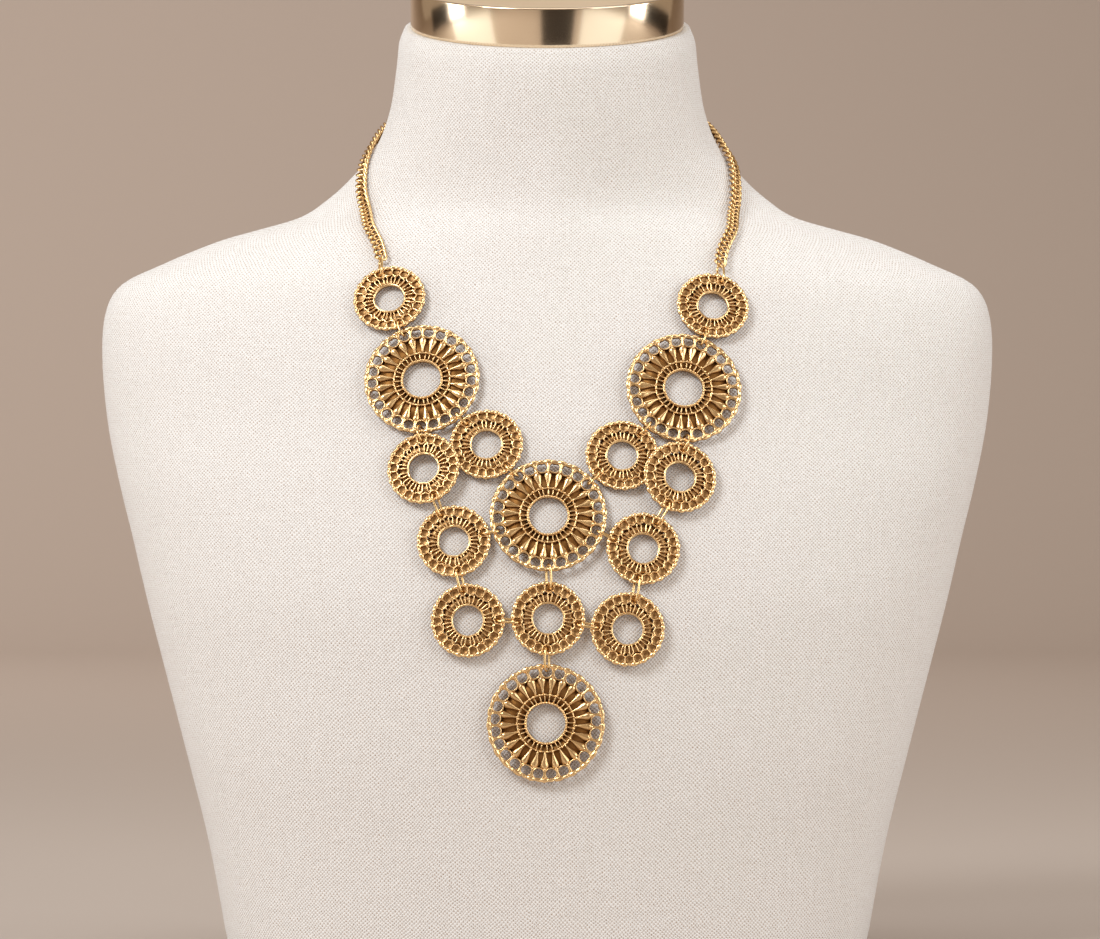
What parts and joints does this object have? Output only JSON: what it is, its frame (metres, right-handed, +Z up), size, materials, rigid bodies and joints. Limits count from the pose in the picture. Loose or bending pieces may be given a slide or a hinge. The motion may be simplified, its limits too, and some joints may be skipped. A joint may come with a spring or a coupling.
{
  "type": "bib necklace on a neck bust",
  "caption": "Bib necklace of openwork cast discs joined by oval jump rings, hung on link chains with a clasp, worn on a linen neck bust with a brass cap.",
  "frame": {"origin": "middle of the bust's flat underside", "axes": "+X to the right as seen from the front, front towards -Y, +Z up"},
  "size_m": [0.351, 0.1846, 0.3911],
  "materials": {
    "linen": "plain-weave linen stretched over the form",
    "cap_brass": "polished band, light wear",
    "gold": "gold-tone casting, bright on the raised work and darker in the hollows",
    "ring_gold": "gold-tone wire, polished",
    "chain_gold": "gold-tone links, polished"
  },
  "bodies": {
    "root": {"neck_bust": "linen", "bust_cap": "cap_brass", "disc_top_left": "gold", "disc_upper_left": "gold", "disc_left_1": "gold", "disc_left_2": "gold", "disc_left_3": "gold", "disc_left_4": "gold", "disc_top_right": "gold", "disc_upper_right": "gold", "disc_right_1": "gold", "disc_right_2": "gold", "disc_right_3": "gold", "disc_right_4": "gold", "disc_centre": "gold", "disc_low_centre": "gold", "disc_drop": "gold", "ring_top_left_upper_left": "ring_gold", "ring_upper_left_left_1": "ring_gold", "ring_upper_left_left_2": "ring_gold", "ring_left_1_left_3": "ring_gold", "ring_left_2_centre": "ring_gold", "ring_left_3_centre": "ring_gold", "ring_left_3_left_4": "ring_gold", "ring_left_4_low_centre": "ring_gold", "ring_top_right_upper_right": "ring_gold", "ring_upper_right_right_1": "ring_gold", "ring_upper_right_right_2": "ring_gold", "ring_right_1_right_3": "ring_gold", "ring_right_2_centre": "ring_gold", "ring_right_3_centre": "ring_gold", "ring_right_3_right_4": "ring_gold", "ring_right_4_low_centre": "ring_gold", "ring_centre_low_centre": "ring_gold", "ring_low_centre_drop": "ring_gold", "chain_left": "chain_gold", "ring_chain_left": "ring_gold", "chain_right": "chain_gold", "ring_chain_right": "ring_gold", "clasp": "ring_gold", "ring_clasp": "ring_gold", "ring_end": "ring_gold"}
  },
  "joints": []
}
